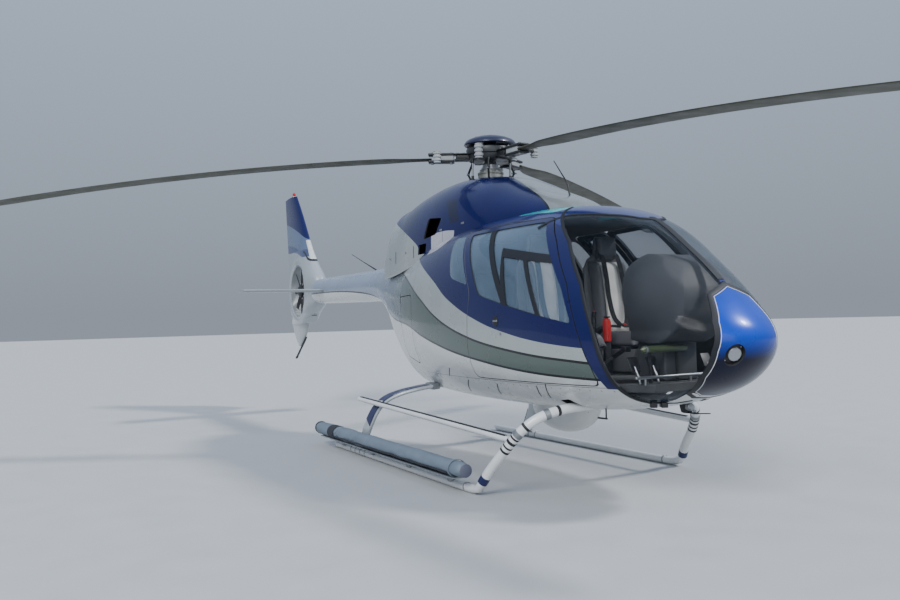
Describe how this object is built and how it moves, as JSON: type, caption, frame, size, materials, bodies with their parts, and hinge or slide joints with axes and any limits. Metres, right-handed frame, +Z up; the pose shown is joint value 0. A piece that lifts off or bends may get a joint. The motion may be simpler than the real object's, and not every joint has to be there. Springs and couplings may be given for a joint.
{
  "type": "light helicopter",
  "caption": "Light helicopter with skid landing gear, main rotor, ducted tail fan, engine cowling, glazed cabin with hinged doors, and a long float bag along one skid.",
  "frame": {"origin": "on the ground under the middle of the outer box, with the rotor at rest", "axes": "+X towards the nose, +Y to port, +Z up"},
  "size_m": [11.5162, 8.7352, 3.4482],
  "materials": {
    "blue_paint": "gloss",
    "silver_paint": "metallic gloss",
    "silver_composite": "metallic gloss",
    "pale_paint": "satin",
    "fin_paint": "gloss",
    "cap_paint": "gloss",
    "window": "clear",
    "lamp_white": "clear over white",
    "beacon_red": "red lens",
    "roof_tint": "tinted",
    "cabin_trim": "matt",
    "panel_black": "matt",
    "seat_cover": "soft",
    "steel": "machined",
    "rotor_black": "satin",
    "blade_paint": "satin",
    "duct_paint": "satin",
    "fan_black": "satin",
    "bumper_black": "matt",
    "gear_white": "painted gloss",
    "float_vinyl": "coated"
  },
  "bodies": {
    "airframe": {"roof_panel": "blue_paint", "nose_cap": "blue_paint", "windshield_post": "blue_paint", "engine_cowling": "blue_paint", "sliding_door": "blue_paint", "side_frame_right": "silver_paint", "side_frame_left": "silver_paint", "aft_fuselage": "silver_paint", "tail_boom": "silver_paint", "rear_cross_blade": "silver_paint", "fan_shroud": "silver_composite", "lower_fin": "silver_composite", "stabilizer_right": "silver_composite", "stabilizer_left": "silver_composite", "belly_tub": "pale_paint", "belly_pod": "pale_paint", "tail_fin": "fin_paint", "windshield_right": "window", "windshield_left": "window", "sliding_door_glass": "window", "quarter_window_right": "window", "quarter_window_left": "window", "nose_lamp": "lamp_white", "fin_beacon": "beacon_red", "roof_window_right": "roof_tint", "roof_window_left": "roof_tint", "cabin_floor": "cabin_trim", "rear_bulkhead": "cabin_trim", "instrument_panel": "panel_black", "cyclic_stick_right": "panel_black", "cyclic_stick_left": "panel_black", "seat_right": "seat_cover", "seat_left": "seat_cover", "rear_bench": "seat_cover", "engine_block": "steel", "gearbox": "steel", "exhaust_pipe": "steel", "fan_stator": "duct_paint", "tail_bumper": "bumper_black", "belly_lamp": "bumper_black", "front_cross_tube": "gear_white", "skid_right": "gear_white", "skid_left": "gear_white", "step_right": "gear_white", "step_left": "gear_white", "float_bag_right": "float_vinyl"},
    "main_rotor": {"rotor_hub": "rotor_black", "hub_cap": "cap_paint", "blade_1": "blade_paint", "blade_2": "blade_paint", "blade_3": "blade_paint"},
    "tail_fan": {"fan_rotor": "fan_black"},
    "door_right": {"door_right": "blue_paint", "door_right_glass": "window"},
    "door_left": {"door_left": "blue_paint", "door_left_glass": "window"},
    "baggage_door": {"baggage_door": "silver_paint"}
  },
  "joints": [
    {"name": "main_rotor_spin", "type": "hinge", "parent": "airframe", "child": "main_rotor", "pos_m": [0.76909, 0, 2.89888], "axis": [0.0349, 0, 0.9994], "continuous": true},
    {"name": "tail_fan_spin", "type": "hinge", "parent": "airframe", "child": "tail_fan", "pos_m": [-4.85091, -0.06, 1.83388], "axis": [0, 1, 0], "continuous": true},
    {"name": "door_right_hinge", "type": "hinge", "parent": "airframe", "child": "door_right", "pos_m": [3.05409, -0.69, 0.84888], "axis": [-0.1191, 0, 0.9929], "range_deg": [0, 80]},
    {"name": "door_left_hinge", "type": "hinge", "parent": "airframe", "child": "door_left", "pos_m": [3.05409, 0.69, 0.84888], "axis": [0.1191, 0, -0.9929], "range_deg": [0, 80]},
    {"name": "baggage_door_hinge", "type": "hinge", "parent": "airframe", "child": "baggage_door", "pos_m": [0.27259, -0.662, 1.22888], "axis": [0, 0, 1], "range_deg": [0, 95]}
  ]
}
